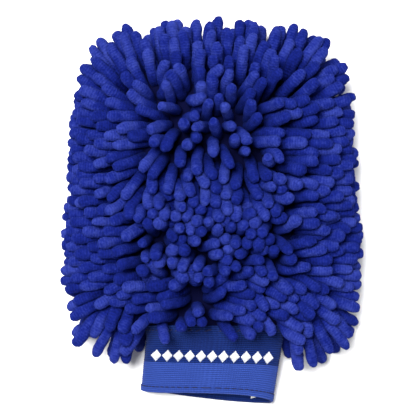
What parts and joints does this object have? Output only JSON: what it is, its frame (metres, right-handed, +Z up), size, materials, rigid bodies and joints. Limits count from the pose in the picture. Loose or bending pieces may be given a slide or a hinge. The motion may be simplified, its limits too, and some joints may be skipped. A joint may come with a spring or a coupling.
{
  "type": "wash mitt",
  "caption": "Soft car wash mitt with chenille microfibre noodles on both faces, a lined hand pocket and a ribbed elastic wrist cuff.",
  "frame": {"origin": "middle of the overall box, on the surface the mitt lies on", "axes": "+Y from the cuff to the finger tips, +X across the mitt to the right when it is seen from above, +Z up out of the front face; the mitt lies on its back face"},
  "size_m": [0.2032, 0.2585, 0.0818],
  "materials": {
    "chenille": "soft fuzzy microfibre pile, royal blue",
    "backing": "woven polyester backing, dark blue",
    "lining": "fine knitted polyester lining, dark blue",
    "cuff_knit": "ribbed elastic knit, royal blue with a darker upper band",
    "thread": "polyester sewing thread, blue",
    "motif": "white woven yarn",
    "label": "white satin tape"
  },
  "bodies": {
    "mitt": {"front_backing": "backing", "back_backing": "backing", "front_lining": "lining", "back_lining": "lining", "side_seam_allowance": "backing", "side_seam_stitching": "thread", "front_noodle_row_01": "chenille", "front_noodle_row_02": "chenille", "front_noodle_row_03": "chenille", "front_noodle_row_04": "chenille", "front_noodle_row_05": "chenille", "front_noodle_row_06": "chenille", "front_noodle_row_07": "chenille", "front_noodle_row_08": "chenille", "front_noodle_row_09": "chenille", "front_noodle_row_10": "chenille", "front_noodle_row_11": "chenille", "front_noodle_row_12": "chenille", "front_noodle_row_13": "chenille", "front_noodle_row_14": "chenille", "front_noodle_row_15": "chenille", "front_noodle_row_16": "chenille", "front_noodle_row_17": "chenille", "front_noodle_row_18": "chenille", "back_noodle_row_01": "chenille", "back_noodle_row_02": "chenille", "back_noodle_row_03": "chenille", "back_noodle_row_04": "chenille", "back_noodle_row_05": "chenille", "back_noodle_row_06": "chenille", "back_noodle_row_07": "chenille", "back_noodle_row_08": "chenille", "back_noodle_row_09": "chenille", "back_noodle_row_10": "chenille", "back_noodle_row_11": "chenille", "back_noodle_row_12": "chenille", "back_noodle_row_13": "chenille", "back_noodle_row_14": "chenille", "back_noodle_row_15": "chenille", "back_noodle_row_16": "chenille", "back_noodle_row_17": "chenille", "back_noodle_row_18": "chenille"},
    "cuff": {"cuff_band": "cuff_knit", "cuff_join_seam": "cuff_knit", "cuff_seam_stitching": "thread", "cuff_hem_stitching": "thread", "cuff_diamond_motif": "motif", "care_label": "label"}
  },
  "joints": [
    {"name": "cuff_fold", "type": "hinge", "parent": "mitt", "child": "cuff", "pos_m": [0, -0.0752, 0.036], "axis": [-1, 0, 0], "range_deg": [0, 45]}
  ]
}
